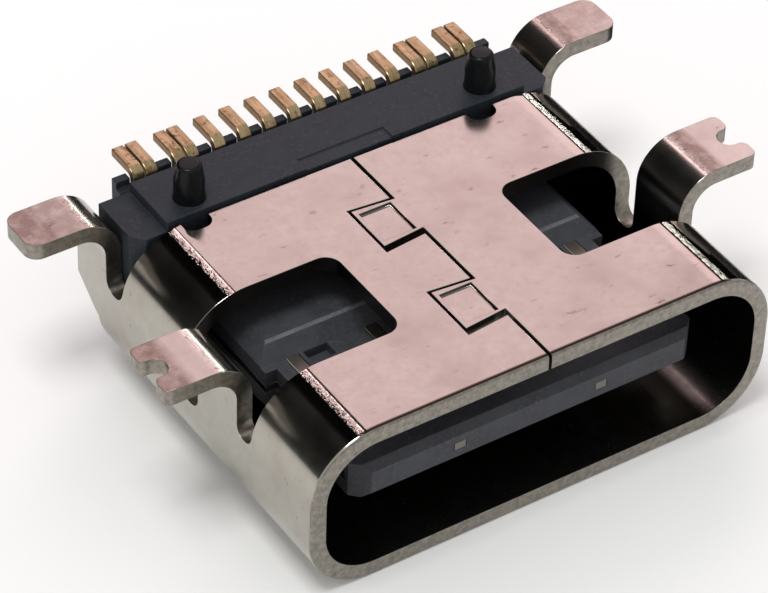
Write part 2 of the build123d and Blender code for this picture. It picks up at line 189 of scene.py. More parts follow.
class SocketFinishes(bpy.types.PropertyGroup):
    """Colours of the socket's surfaces."""

    nickel: colour("Nickel", "Plated sheet", "#B2B0A6")
    nickel_dull: colour("Dull nickel", "Duller patches of the plate", "#A39B92")
    nickel_speck: colour("Specks", "Scuffs and specks on the plate", "#6A5850")
    # The brown tint on the pads is painted dark reflection.
    nickel_pad_reflection: colour("Reflection tint", "Brown tint on the pads", "#81746B")
    nickel_lip_line: colour("Lip line", "Brown line along the front edge", "#40342C")
    nickel_inside: colour("Inside", "Thin dull plate on the inside of the shell", "#6E6B65")
    nickel_edge: colour("Cut edge", "Sheared edges of the rim and the legs", "#737269")
    # Dark edge is painted shade on the cut edges beside and behind the windows; inside the shell it is a
    # cloudy tone.
    dark_edge: colour("Dark edge", "Shaded edges of the windows and the seam", "#3B3937")
    plastic: colour("Plastic", "Moulded plastic", "#22262B")
    plastic_pale: colour("Plastic haze", "Paler flow marks in the plastic", "#31363C")
    # The pegs' plastic is painted darker than the housing's as dark reflection; their gloss is real.
    peg: colour("Pegs", "Polished plastic of the locating pegs", "#0B0C0E")
    peg_pale: colour("Peg haze", "Paler flow marks in the pegs", "#15171A")
    # Painted light: the tongue's plastic is paler than the housing's, to make up for the light that the shell
    # keeps off it.
    wafer: colour("Wafers", "Moulded plastic of the tongue", "#3F4045")
    wafer_pale: colour("Wafer haze", "Paler flow marks in the tongue", "#4F5055")
    # The paler colour on the ridge is a painted highlight.
    wafer_ridge_highlight: colour("Rubbed ridge", "Rubbed plastic on the ridge of the tongue's base", "#727376")
    gold: colour("Gold flash", "Plated faces of the contacts", "#B9A480")
    gold_dull: colour("Dull gold", "Duller streaks on the contacts", "#9B8360")
    underplate: colour("Underplate", "Nickel under the gold, bare in the middle of a contact", "#A39C92")
    gold_spot: colour("Gold spots", "Shaded spots on the contacts", "#5A4632")
    copper_edge: colour("Copper edge", "Sheared edges of the contacts", "#6B503A")
    steel: colour("Steel", "Bare plate between the wafers", "#7E7A72")


class SocketStage(bpy.types.PropertyGroup):
    """Colours of the floor, the light and the dark cards."""

    floor: colour("Floor", "Pale floor", "#FAFAF9")
    room: colour("Room", "Even light from all round", "#CECECE")
    softbox: colour("Softbox", "Soft lights behind the socket", "#FFE0E8")
    card: colour("Card", "Dark cards that the folds mirror", "#101010")


def in_mm(group):
    """All lengths of a property group, in millimetres."""
    return SimpleNamespace(**{name: getattr(group, name) / MM for name in group.__annotations__})


def set_inputs(tree, node, inputs):
    """Set or link inputs of a node."""
    for socket, value in inputs.items():
        if isinstance(value, bpy.types.NodeSocket):
            tree.links.new(value, node.inputs[socket])
        else:
            node.inputs[socket].default_value = value


def add_node(tree, kind, inputs=None, **settings):
    """Add a node, make its settings and set or link its inputs."""
    node = tree.nodes.new(kind)
    for setting, value in settings.items():
        setattr(node, setting, value)
    set_inputs(tree, node, inputs or {})
    return node


def new_material(name):
    """Material with its tree, its shader and the place on the piece."""
    material = bpy.data.materials.new(name)
    material.use_nodes = True
    tree = material.node_tree
    shader = tree.nodes["Principled BSDF"]
    place = add_node(tree, "ShaderNodeTexCoord").outputs["Object"]
    return material, tree, shader, place


def rgba(value):
    """Four numbers for a colour socket."""
    return (*value[:3], 1.0)


def blotches(tree, place, size, low, high, least=0.0, most=1.0, detail=3.0, roughness=0.6):
    """Noise with cells of that size in millimetres, and a mask of it.

    The mask goes from least to most as the noise rises from low to high.
    """
    noise = add_node(
        tree, "ShaderNodeTexNoise",
        {"Vector": place, "Scale": 1 / (size * MM), "Detail": detail, "Roughness": roughness},
    ).outputs["Fac"]
    mask = add_node(
        tree, "ShaderNodeMapRange",
        {"Value": noise, "From Min": low, "From Max": high, "To Min": least, "To Max": most},
    ).outputs["Result"]
    return noise, mask


def zone(tree, *spans, peak=1.0):
    """Mask of the zone where every measure lies in its span.

    A span is the measure, and in millimetres its middle, its half width and the fade beyond that.
    """
    mask = peak
    for measure, middle, half, fade in spans:
        off = add_node(
            tree, "ShaderNodeMath", {0: measure, 1: middle * MM}, operation="SUBTRACT"
        ).outputs["Value"]
        away = add_node(tree, "ShaderNodeMath", {0: off}, operation="ABSOLUTE").outputs["Value"]
        start, stop = half * MM, (half + fade) * MM
        mask = add_node(
            tree, "ShaderNodeMapRange",
            {"Value": away, "From Min": start, "From Max": stop, "To Min": mask, "To Max": 0.0},
        ).outputs["Result"]
    return mask


def layered(tree, base, *layers):
    """Colour of a surface: a base with other colours laid over it, each by its mask."""
    skin = rgba(base)
    for mask, tone in layers:
        skin = add_node(
            tree, "ShaderNodeMix", {"Factor": mask, "A": skin, "B": rgba(tone)}, data_type="RGBA"
        ).outputs["Result"]
    return skin


def die_marks(tree, parts, sizes, on_pad):
    """Masks of the ragged lines that the bending die left, and of all that it burnished."""
    across = add_node(tree, "ShaderNodeMath", {0: parts["X"]}, operation="ABSOLUTE").outputs["Value"]
    half = sizes.die_width / 2
    drop = sizes.fold - math.sqrt(sizes.fold ** 2 - sizes.die_line ** 2)
    on_fold = (parts["Z"], sizes.height - drop, sizes.die_width, half)
    fold_place = sizes.width / 2 - sizes.fold + sizes.die_line
    pad_place = sizes.width / 2 + sizes.leg_bend - sizes.pad_line
    fold_lines = zone(tree, on_fold, (across, fold_place, half, half / 2))
    pad_lines = zone(tree, on_pad, (across, pad_place, half, half / 2))
    beside = zone(tree, on_fold, (across, fold_place, sizes.die_width * 2, sizes.die_width))
    marks = add_node(
        tree, "ShaderNodeMath", {0: fold_lines, 1: pad_lines}, operation="MAXIMUM"
    ).outputs["Value"]
    burnished = add_node(tree, "ShaderNodeMath", {0: marks, 1: beside}, operation="MAXIMUM").outputs["Value"]
    return marks, burnished


def pad_reflection_mask(tree, parts, sizes, on_pad):
    """Mask of the brown tint painted on the pads as dark reflection: on the right-hand bends, the left-hand
    tips and, weaker, the rear pads.
    """
    bend_end = sizes.width / 2 + sizes.leg_bend
    bend_half = 0.1 * sizes.front_pad
    tip_middle = bend_end + 0.85 * sizes.front_pad
    tip_half = 0.325 * sizes.front_pad
    soft = 0.25 * sizes.front_pad
    rear_middle = MOUTH + sizes.board_face + sizes.rear_slot + sizes.rear_leg / 2
    brown = zone(tree, on_pad, (parts["Y"], rear_middle, sizes.rear_leg, soft), peak=0.6)
    for span in ((parts["X"], bend_end, bend_half, soft / 2), (parts["X"], -tip_middle, tip_half, soft)):
        brown = add_node(
            tree, "ShaderNodeMath", {0: brown, 1: zone(tree, on_pad, span)}, operation="MAXIMUM"
        ).outputs["Value"]
    return brown


def nickel_plate(finishes, sizes):
    """Bright nickel plate on stamped steel: a mirror with dull patches, die marks, scuffs and specks."""
    material, tree, shader, place = new_material("nickel_plated_steel")
    parts = add_node(tree, "ShaderNodeSeparateXYZ", {"Vector": place}).outputs
    skin_deep = sizes.sheet / 8
    on_pad = (parts["Z"], SOLDER_PLANE, skin_deep, skin_deep)
    on_face = (parts["Z"], sizes.height, skin_deep, skin_deep)
    # Dull patches are about a millimetre wide, with a finer mottle.
    patches, patch = blotches(tree, place, 1.3, 0.40, 0.70, detail=4.0)
    mottle, cloud = blotches(tree, place, 0.22, 0.35, 0.70, most=0.6, roughness=0.7)
    dull = add_node(tree, "ShaderNodeMath", {0: patch, 1: cloud}, operation="MAXIMUM").outputs["Value"]
    uneven = add_node(
        tree, "ShaderNodeMapRange", {"Value": mottle, "From Min": 0.3, "From Max": 0.6, "To Min": 0.4}
    ).outputs["Result"]
    # Painted reflection: the pads are tinted brown where they stand in for the dark that they mirror.
    brown = add_node(
        tree, "ShaderNodeMath", {0: pad_reflection_mask(tree, parts, sizes, on_pad), 1: uneven}, operation="MULTIPLY"
    ).outputs["Value"]
    # Specks and short scuffs are about a tenth of a millimetre; only the noise's highest peaks show.
    slanted = add_node(
        tree, "ShaderNodeMapping",
        {"Vector": place, "Rotation": (0.0, 0.0, math.radians(25)), "Scale": (0.45, 1.0, 1.0)},
    ).outputs["Vector"]
    grit = blotches(tree, slanted, 0.13, 0.66, 0.76, most=0.8, detail=2.0, roughness=0.5)[1]
    worn = add_node(
        tree, "ShaderNodeMapRange", {"Value": patches, "From Min": 0.42, "From Max": 0.6}
    ).outputs["Result"]
    scuffs = add_node(tree, "ShaderNodeMath", {0: grit, 1: worn}, operation="MULTIPLY").outputs["Value"]
    # The die marks break up into grains of about 0.1 mm.
    marks, burnished = die_marks(tree, parts, sizes, on_pad)
    grains, pits = blotches(tree, place, 0.10, 0.56, 0.68, most=0.7)
    pitted = add_node(tree, "ShaderNodeMath", {0: marks, 1: pits}, operation="MULTIPLY").outputs["Value"]
    dark = add_node(tree, "ShaderNodeMath", {0: scuffs, 1: pitted}, operation="MAXIMUM").outputs["Value"]
    # A brown line runs along the front edge of the board face, on the rounding of the mouth's rim.
    line_place = MOUTH + 0.8 * sizes.rim_round
    line_half = 0.4 * sizes.rim_round
    front_line = zone(tree, on_face, (parts["Y"], line_place, line_half, sizes.rim_round / 2))
    skin = layered(
        tree, finishes.nickel,
        (dull, finishes.nickel_dull),
        (brown, finishes.nickel_pad_reflection),
        (dark, finishes.nickel_speck),
        (front_line, finishes.nickel_lip_line),
    )
    satin = add_node(
        tree, "ShaderNodeMapRange",
        {"Value": patches, "From Min": 0.3, "From Max": 0.7, "To Min": 0.13, "To Max": 0.22},
    ).outputs["Result"]
    # The die also burnished the plate, so its marks and the plate beside them are the glossiest places.
    gloss = add_node(
        tree, "ShaderNodeMapRange", {"Value": burnished, "To Min": satin, "To Max": 0.06}
    ).outputs["Result"]
    depth = add_node(
        tree, "ShaderNodeMapRange", {"Value": marks, "To Min": 0.02, "To Max": 1.0}
    ).outputs["Result"]
    relief = add_node(
        tree, "ShaderNodeBump", {"Height": grains, "Strength": depth, "Distance": 0.013 * MM}
    ).outputs["Normal"]
    set_inputs(
        tree, shader, {"Base Color": skin, "Roughness": gloss, "Normal": relief, "Metallic": 1.0}
    )
    return material


def dull_inside(finishes):
    """Inside of the shell, where plating is thin: dull grey, cloudy, with a blurred mirror."""
    material, tree, shader, place = new_material("thin_dull_nickel_plate")
    clouds, shade = blotches(tree, place, 0.6, 0.35, 0.70, most=0.6, detail=5.0, roughness=0.65)
    skin = layered(tree, finishes.nickel_inside, (shade, finishes.dark_edge))
    gloss = add_node(
        tree, "ShaderNodeMapRange",
        {"Value": clouds, "From Min": 0.3, "From Max": 0.7, "To Min": 0.20, "To Max": 0.30},
    ).outputs["Result"]
    set_inputs(tree, shader, {"Base Color": skin, "Roughness": gloss, "Metallic": 1.0})
    return material


def sheared_edge(finishes, sizes):
    """Sheared edge of the sheet: finely torn, rubbed grey at the rim and on the legs, painted dark as shade
    elsewhere.
    """
    material, tree, shader, place = new_material("sheared_steel_edge")
    parts = add_node(tree, "ShaderNodeSeparateXYZ", {"Vector": place}).outputs
    across = add_node(tree, "ShaderNodeMath", {0: parts["X"]}, operation="ABSOLUTE").outputs["Value"]
    tears, shade = blotches(tree, place, 0.11, 0.3, 0.7, detail=4.0, roughness=0.7)
    inner = sizes.bridge / 2 - sizes.sheet
    outer = sizes.width / 2 - sizes.fold / 2
    behind_rim = sizes.board_face - 2 * sizes.sheet
    # Painted shade: the cut edges between the middle and the walls, away from the rim, such as those round
    # the windows, are darkened.
    shaded = zone(
        tree,
        (across, (inner + outer) / 2, (outer - inner) / 2, sizes.sheet),
        (parts["Y"], MOUTH + sizes.board_face, behind_rim, sizes.sheet),
    )
    skin = layered(
        tree, finishes.nickel_edge, (shade, finishes.nickel_dull), (shaded, finishes.dark_edge)
    )
    relief = add_node(
        tree, "ShaderNodeBump", {"Height": tears, "Strength": 0.35, "Distance": 0.012 * MM}
    ).outputs["Normal"]
    set_inputs(tree, shader, {"Base Color": skin, "Normal": relief, "Metallic": 1.0, "Roughness": 0.32})
    return material


def moulded_plastic(name, deep, pale, roughness, specular):
    """Glass-filled liquid-crystal polymer, moulded: dark, faintly mottled and speckled by its fibres.

    As it comes from the mould it has a soft low sheen. From a polished hole of the mould it is glossy,
    and on the ridge of the tongue's base it is painted paler as a highlight, and is shinier.
    """
    material, tree, shader, place = new_material(name)
    flow, haze = blotches(tree, place, 0.55, 0.35, 0.72, detail=5.0, roughness=0.65)
    # Glass fibres leave a grain of some hundredths of a millimetre; it is drawn at 0.07 mm to show.
    grain, speckle = blotches(tree, place, 0.07, 0.45, 0.70, detail=2.0, roughness=0.5)
    mottle = add_node(tree, "ShaderNodeMath", {0: haze, 1: speckle}, operation="MAXIMUM").outputs["Value"]
    smooth, rough = 0.8 * roughness, 1.2 * roughness
    gloss = add_node(
        tree, "ShaderNodeMapRange",
        {"Value": flow, "From Min": 0.3, "From Max": 0.7, "To Min": smooth, "To Max": rough},
    ).outputs["Result"]
    relief = add_node(
        tree, "ShaderNodeBump", {"Height": grain, "Strength": 0.22, "Distance": 0.006 * MM}
    ).outputs["Normal"]
    skin = layered(tree, deep, (mottle, pale))
    set_inputs(
        tree, shader,
        {"Base Color": skin, "Roughness": gloss, "Normal": relief, "Specular IOR Level": specular},
    )
    return material


def gold_flash(finishes, sizes):
    """Gold flash on rolled copper alloy: warm, satin, streaked lengthwise, with bare nickel in its middle."""
    material, tree, shader, place = new_material("gold_flashed_copper_alloy")
    parts = add_node(tree, "ShaderNodeSeparateXYZ", {"Vector": place}).outputs
    along = add_node(
        tree, "ShaderNodeMapping", {"Vector": place, "Scale": (1.0, 0.12, 0.12)}
    ).outputs["Vector"]
    streaks, dull = blotches(tree, along, 0.07, 0.36, 0.66, detail=4.0)
    # Tarnish sits in spots of about a tenth of a millimetre.
    spots = blotches(tree, place, 0.10, 0.56, 0.70, most=0.8)[1]
    bare = zone(tree, (parts["Y"], MOUTH + sizes.bare_middle, sizes.bare_length / 2, sizes.thickness))
    skin = layered(
        tree, finishes.gold,
        (dull, finishes.gold_dull),
        (spots, finishes.gold_spot),
        (bare, finishes.underplate),
    )
    gloss = add_node(
        tree, "ShaderNodeMapRange",
        {"Value": streaks, "From Min": 0.3, "From Max": 0.7, "To Min": 0.26, "To Max": 0.42},
    ).outputs["Result"]
    relief = add_node(
        tree, "ShaderNodeBump", {"Height": streaks, "Strength": 0.12, "Distance": 0.004 * MM}
    ).outputs["Normal"]
    set_inputs(
        tree, shader, {"Base Color": skin, "Roughness": gloss, "Normal": relief, "Metallic": 1.0}
    )
    return material


def copper_edge(finishes):
    """Sheared side of a contact strip: bare, darker copper, rough across the break."""
    material, tree, shader, place = new_material("sheared_copper_edge")
    tears, shade = blotches(tree, place, 0.06, 0.0, 1.0, roughness=0.5)
    skin = layered(tree, finishes.copper_edge, (shade, finishes.gold_dull))
    relief = add_node(
        tree, "ShaderNodeBump", {"Height": tears, "Strength": 0.3, "Distance": 0.006 * MM}
    ).outputs["Normal"]
    set_inputs(tree, shader, {"Base Color": skin, "Normal": relief, "Metallic": 1.0, "Roughness": 0.45})
    return material


def plate_steel(finishes):
    """Bare rolled stainless steel: grey, satin, with fine rolling lines."""
    material, tree, shader, place = new_material("rolled_stainless_steel")
    along = add_node(
        tree, "ShaderNodeMapping", {"Vector": place, "Scale": (1.0, 0.08, 1.0)}
    ).outputs["Vector"]
    lines, gloss = blotches(tree, along, 0.06, 0.3, 0.7, least=0.26, most=0.44, roughness=0.5)
    relief = add_node(
        tree, "ShaderNodeBump", {"Height": lines, "Strength": 0.1, "Distance": 0.003 * MM}
    ).outputs["Normal"]
    skin = rgba(finishes.steel)
    set_inputs(
        tree, shader, {"Base Color": skin, "Roughness": gloss, "Normal": relief, "Metallic": 1.0}
    )
    return material


def new_piece():
    """Empty mesh whose faces remember whether they were made by rounding an edge."""
    bm = bmesh.new()
    bm.faces.layers.int.new("rounding")
    return bm


def part_shading(bm):
    """Let the shading break at corners and where a flat face meets the rounding of its edge."""
    rounding = bm.faces.layers.int["rounding"]
    corner = math.radians(SHADING_CORNER)
    for edge in bm.edges:
        if edge.is_manifold:
            first, second = edge.link_faces
            edge.smooth = first[rounding] == second[rounding] and edge.calc_face_angle() < corner


def finish_piece(bm, name, node, materials):
    """Turn a mesh in millimetres, counted from the mouth, into the piece that stands for a CAD node."""
    part_shading(bm)
    for face in bm.faces:
        face.smooth = True
    bm.faces.layers.int.remove(bm.faces.layers.int["rounding"])
    bmesh.ops.translate(bm, vec=(0, MOUTH, 0), verts=bm.verts)
    bmesh.ops.scale(bm, vec=(MM, MM, MM), verts=bm.verts)
    mesh = bpy.data.meshes.new(name)
    bm.to_mesh(mesh)
    bm.free()
    for material in materials:
        mesh.materials.append(material)
    piece = bpy.data.objects.new(name, mesh)
    bpy.context.scene.collection.objects.link(piece)
    weighted = piece.modifiers.new("flat faces stay flat", "WEIGHTED_NORMAL")
    weighted.keep_sharp = True
    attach(piece, "root")
    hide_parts(node)


def break_edges(bm, edges, width, segments=2):
    """Round the given edges."""
    made = bmesh.ops.bevel(
        bm, geom=edges, offset=width, offset_type="OFFSET", segments=segments,
        profile=0.5, affect="EDGES", clamp_overlap=True, material=-1,
    )["faces"]
    rounding = bm.faces.layers.int["rounding"]
    for face in made:
        face[rounding] = 1


def sharp_edges(bm, degrees):
    """Edges at which two faces meet at more than that angle."""
    limit = math.radians(degrees)
    return [edge for edge in bm.edges if edge.is_manifold and edge.calc_face_angle() > limit]


def cut_loop(bm, corners):
    """Closed outline of cut sheet through corners of (along, depth, rounding); gives its edges."""
    old = set(bm.edges)
    verts = [bm.verts.new((along, depth, 0)) for along, depth, rounding in corners]
    bm.faces.new(verts)
    for size in sorted({rounding for along, depth, rounding in corners if rounding}):
        round_verts = [vert for vert, corner in zip(verts, corners) if corner[2] == size]
        bmesh.ops.bevel(
            bm, geom=round_verts, offset=size, offset_type="OFFSET", segments=8,
            profile=0.5, affect="VERTICES", clamp_overlap=False, material=-1,
        )
    bmesh.ops.delete(bm, geom=bm.faces[:], context="FACES_ONLY")
    return [edge for edge in bm.edges if edge not in old]


class FoldedSheet:
    """Places on the flat blank of the shell, and where they go when it is folded.

    The blank is measured along its outer side from the middle of the resting face, right-hand
    side positive, and in depth from the mouth. The third measure is zero on the outer side.
    """

    def __init__(self, sizes):
        self.sizes = sizes
        # Places on the blank that lie nearer than a hair are one place.
        self.hair = sizes.edge_break / 10
        self.locks = (sizes.lock_first, sizes.lock_first + sizes.lock_pitch)
        self.flat = sizes.width / 2 - sizes.fold
        self.arc = QUARTER * sizes.fold
        self.root_height = sizes.height - sizes.fold
        self.root = self.flat + self.arc + self.root_height - sizes.fold
        self.crown = self.root + self.arc
        self.pad_under = SOLDER_PLANE - sizes.sheet
        self.rise = self.pad_under - sizes.leg_bend - self.root_height
        self.leg_arc = QUARTER * sizes.leg_bend
        self.front_leg_front = sizes.window_front + sizes.front_slot
        self.front_leg_rear = self.front_leg_front + sizes.front_leg
        self.window_rear = self.front_leg_rear + sizes.deep_slot
        self.rear_leg_front = sizes.board_face + sizes.rear_slot
        self.rear_leg_rear = self.rear_leg_front + sizes.rear_leg
        self.front_tip = self.root + self.rise + self.leg_arc + sizes.front_pad
        self.rear_tip = self.root + self.rise + self.leg_arc + sizes.rear_pad

    def on_board_face(self, x, side):
        """Place along the blank of a point on the right (1) or left (-1) part of the board face."""
        return side * (self.crown + self.flat - side * x)

    def on_wall(self, height):
        """Place along the blank of a height on the straight part of the side wall."""
        return self.root - self.root_height + height

    def on_low_fold(self, height):
        """Place along the blank of a height on the fold beside the resting face."""
        return self.flat + self.sizes.fold * math.acos(1 - height / self.sizes.fold)

    def is_leg(self, along, depth):
        """Whether a place on the blank belongs to a leg and not to the wall beside it."""
        if along <= self.root:
            return False
        s = self.sizes
        if depth > s.board_face + s.rear_slot / 2:
            return True
        beside = s.window_front + s.front_slot / 2 < depth < self.window_rear - s.deep_slot / 2
        return beside and along < self.front_tip + s.edge_break

    def leg_place(self, beyond, lift):
        """Folded place of a point on a leg: up the wall, round the bend and out along the pad."""
        wall = self.sizes.width / 2
        bend = self.sizes.leg_bend
        if beyond < self.rise:
            return wall + lift, self.root_height + beyond
        if beyond < self.rise + self.leg_arc:
            turn = (beyond - self.rise) / bend
            reach = bend - lift
            centre = self.root_height + self.rise
            return wall + bend - reach * math.cos(turn), centre + reach * math.sin(turn)
        return wall + bend + beyond - self.rise - self.leg_arc, self.pad_under - lift

    def wall_place(self, along, lift):
        """Folded place of a point on the body of the shell."""
        fold = self.sizes.fold
        if along <= self.flat:
            return along, -lift
        if along <= self.flat + self.arc:
            turn = (along - self.flat) / fold
            return self.flat + (fold + lift) * math.sin(turn), fold - (fold + lift) * math.cos(turn)
        if along <= self.root:
            return self.sizes.width / 2 + lift, fold + along - self.flat - self.arc
        if along <= self.crown:
            turn = (along - self.root) / fold
            place = self.root_height + (fold + lift) * math.sin(turn)
            return self.flat + (fold + lift) * math.cos(turn), place
        return self.flat - (along - self.crown), self.sizes.height + lift

    def folded(self, place):
        """Where a point of the blank lies on the folded shell."""
        side = -1 if place.x < 0 else 1
        along = abs(place.x)
        if self.is_leg(along, place.y):
            x, z = self.leg_place(along - self.root, place.z)
        else:
            x, z = self.wall_place(along, place.z)
        return Vector((side * x, place.y, z))

    def outline(self):
        """Outer edge of the blank, round from the left-hand side of the seam at the mouth."""
        s = self.sizes
        rear_round = (s.rear_slot - s.slot_flat) / 2
        right_edge = self.on_board_face(s.seam / 2, 1)
        right_tip = self.on_board_face(-s.lock_reach, 1)
        left_edge = self.on_board_face(-s.seam / 2, -1)
        left_tip = self.on_board_face(-s.lock_reach - s.lock_play, -1)
        corners = [(left_edge, 0, 0), (right_edge, 0, 0)]
        for middle in self.locks:
            corners += [
                (right_edge, middle - s.lock_root / 2, 0),
                (right_tip, middle - s.lock_tip / 2, 0),
                (right_tip, middle + s.lock_tip / 2, 0),
                (right_edge, middle + s.lock_root / 2, 0),
            ]
        corners.append((right_edge, s.board_face, 0))
        corners += self.notch(s.notch_right - s.notch_width / 2, s.notch_right + s.notch_width / 2, 1)
        side = [
            (self.root, s.board_face, rear_round),
            (self.root, self.rear_leg_front, rear_round),
            (self.rear_tip, self.rear_leg_front, s.pad_corner),
            (self.rear_tip, self.rear_leg_rear, s.pad_corner),
            (self.on_wall(s.slope_high), self.rear_leg_rear, 0),
            (self.on_low_fold(s.slope_low), s.resting_face, 0),
        ]
        corners += side
        corners += [(-along, depth, rounding) for along, depth, rounding in reversed(side)]
        corners += self.notch(s.notch_left - s.notch_width / 2, s.notch_left + s.notch_width / 2, -1)
        corners.append((left_edge, s.board_face, 0))
        for middle in reversed(self.locks):
            corners += [
                (left_edge, middle + s.lock_root / 2 + s.lock_play, 0),
                (left_tip, middle + s.lock_tip / 2 + s.lock_play, 0),
                (left_tip, middle - s.lock_tip / 2 - s.lock_front_play, 0),
                (left_edge, middle - s.lock_root / 2 - s.lock_front_play, 0),
            ]
        return corners

    def notch(self, start, stop, side):
        """Rounded notch in the rear edge of the board face."""
        s = self.sizes
        rounding = (s.notch_width - s.notch_flat) / 2
        floor = s.board_face - s.notch_depth
        return [
            (self.on_board_face(start, side), s.board_face, 0),
            (self.on_board_face(start, side), floor, rounding),
            (self.on_board_face(stop, side), floor, rounding),
            (self.on_board_face(stop, side), s.board_face, 0),
        ]

    def window(self, side):
        """Window with the front leg standing in it."""
        s = self.sizes
        inner = self.on_board_face(s.bridge / 2, 1)
        deep = self.root - s.deep_drop
        deep_round = (s.deep_slot - s.slot_flat) / 2
        front_round = (s.front_slot - s.slot_flat) / 2
        fork_half = s.front_leg / 2 - s.prong
        fork_floor = self.front_tip - fork_half - s.fork_straight
        middle = (self.front_leg_front + self.front_leg_rear) / 2
        # The two roundings of the fork's floor stop just short of each other.
        fork_round = 0.98 * fork_half
        corners = [
            (inner, s.window_front, s.window_round),
            (inner, self.window_rear, s.window_round),
            (deep, self.window_rear, deep_round),
            (deep, self.front_leg_rear, deep_round),
            (self.front_tip, self.front_leg_rear, s.prong_round),
            (self.front_tip, middle + fork_half, s.prong_round),
            (fork_floor, middle + fork_half, fork_round),
            (fork_floor, middle - fork_half, fork_round),
            (self.front_tip, middle - fork_half, s.prong_round),
            (self.front_tip, self.front_leg_front, s.prong_round),
            (self.root, self.front_leg_front, front_round),
            (self.root, s.window_front, front_round),
        ]
        return [(side * along, depth, rounding) for along, depth, rounding in corners]

    def coin(self, middle):
        """Square pressed into a dovetail."""
        s = self.sizes
        near = self.on_board_face(-s.coin_margin, 1)
        far = self.on_board_face(-s.lock_reach + s.coin_margin, 1)
        half = (s.lock_root - s.coin_margin) / 2
        return [
            (near, middle - half, 0),
            (far, middle - half, 0),
            (far, middle + half, 0),
            (near, middle + half, 0),
        ]

    def creases(self):
        """Places along the blank where it is sliced so that the folds come out round."""
        steps = 18
        turns = [QUARTER * i / steps for i in range(steps + 1)]
        lows = [self.flat + self.sizes.fold * turn for turn in turns]
        highs = [self.root + self.sizes.fold * turn for turn in turns]
        bends = [self.root + self.rise + self.sizes.leg_bend * turn for turn in turns]
        return lows + highs + bends


class SOCKET_OT_shell(bpy.types.Operator):
    """Cut the flat blank of the shell, round its edges and fold it"""

    bl_idname = "socket.shell"
    bl_label = "Folded shell"

    plate, cut_edge, inside = range(3)

    def execute(self, context):
        sizes = in_mm(context.scene.socket_shell)
        finishes = context.scene.socket_finishes
        sheet = FoldedSheet(sizes)
        bm = new_piece()
        coin_spots = self.cut_blank(bm, sheet)
        self.round_edges(bm, sheet)
        self.press_coins(bm, sheet, coin_spots)
        self.fold_blank(bm, sheet)
        materials = [nickel_plate(finishes, sizes), sheared_edge(finishes, sizes), dull_inside(finishes)]
        finish_piece(bm, "folded_shell", "shell", materials)
        return {"FINISHED"}

    def cut_blank(self, bm, sheet):
        """Cut the flat blank from the sheet; gives the middles of the squares on its dovetails."""
        cut_loop(bm, sheet.outline())
        for side in (1, -1):
            cut_loop(bm, sheet.window(side))
        coins = [cut_loop(bm, sheet.coin(middle)) for middle in sheet.locks]
        bmesh.ops.triangle_fill(bm, use_beauty=True, edges=bm.edges[:], normal=(0, 0, 1))
        bmesh.ops.dissolve_limit(
            bm, angle_limit=math.radians(BLANK_FLATNESS), verts=bm.verts[:], edges=bm.edges[:]
        )
        faces = [bmesh.ops.contextual_create(bm, geom=edges)["faces"][0] for edges in coins]
        coin_spots = [face.calc_center_median() for face in faces]
        grown = bmesh.ops.extrude_face_region(bm, geom=bm.faces[:])["geom"]
        inner = [item for item in grown if isinstance(item, bmesh.types.BMVert)]
        bmesh.ops.translate(bm, vec=(0, 0, -sheet.sizes.sheet), verts=inner)
        bmesh.ops.recalc_face_normals(bm, faces=bm.faces[:])
        # Both sides of the sheet are plated, and what stands upright is a cut edge.
        lies_flat = 0.5
        for face in bm.faces:
            face.material_index = self.plate if abs(face.normal.z) > lies_flat else self.cut_edge
        return coin_spots

    def round_edges(self, bm, sheet):
        """Round the outer edge of the mouth, and then all edges of both sides of the blank."""
        sizes = sheet.sizes
        rim = [
            edge for edge in sharp_edges(bm, CUT_CORNER)
            if all(abs(vert.co.y) < sheet.hair and abs(vert.co.z) < sheet.hair for vert in edge.verts)
        ]
        break_edges(bm, rim, sizes.rim_round, segments=3)
        borders = [
            edge for edge in sharp_edges(bm, CUT_CORNER)
            if all(min(abs(v.co.z), abs(v.co.z + sizes.sheet)) < sheet.hair for v in edge.verts)
        ]
        break_edges(bm, borders, sizes.edge_break)
        # Where the two roundings meet at the seam they leave double points, which are merged.
        bmesh.ops.remove_doubles(bm, verts=bm.verts[:], dist=WELD / 10)

    def press_coins(self, bm, sheet, coin_spots):
        """Press the squares into the dovetails, with walls darkened by the inside finish as painted shade,
        and rounded edges.
        """
        sizes = sheet.sizes
        pressed = [
            face for face in bm.faces
            if any((face.calc_center_median() - spot).length < sheet.hair for spot in coin_spots)
        ]
        bmesh.ops.inset_individual(bm, faces=pressed, thickness=sizes.coin_slope, depth=-sizes.coin_depth)
        feet = {edge for face in pressed for edge in face.edges}
        walls = {face for edge in feet for face in edge.link_faces} - set(pressed)
        tops = {
            edge for face in walls for edge in face.edges
            if all(abs(vert.co.z) < sheet.hair for vert in edge.verts)
        }
        # The walls take the dark inside finish as painted shade in the pressed square.
        for face in walls:
            face.material_index = self.inside
        break_edges(bm, list(feet | tops), sizes.coin_break)

    def fold_blank(self, bm, sheet):
        """Slice the blank along its bends, give its inner side a finish of its own and fold it."""
        for crease in sheet.creases():
            for side in (-1, 1):
                everything = bm.verts[:] + bm.edges[:] + bm.faces[:]
                bmesh.ops.bisect_plane(
                    bm, geom=everything, dist=sheet.hair, plane_co=(side * crease, 0, 0), plane_no=(1, 0, 0)
                )
        bm.normal_update()
        # The inner side is dull, but for the legs, where both sides are bright.
        looks_in = -0.9
        for face in bm.faces:
            spot = face.calc_center_median()
            if face.normal.z < looks_in and not sheet.is_leg(abs(spot.x), spot.y):
                face.material_index = self.inside
        for vert in bm.verts:
            vert.co = sheet.folded(vert.co)
        # Folding turns the blank over, so its faces are turned back.
        bmesh.ops.reverse_faces(bm, faces=bm.faces[:])


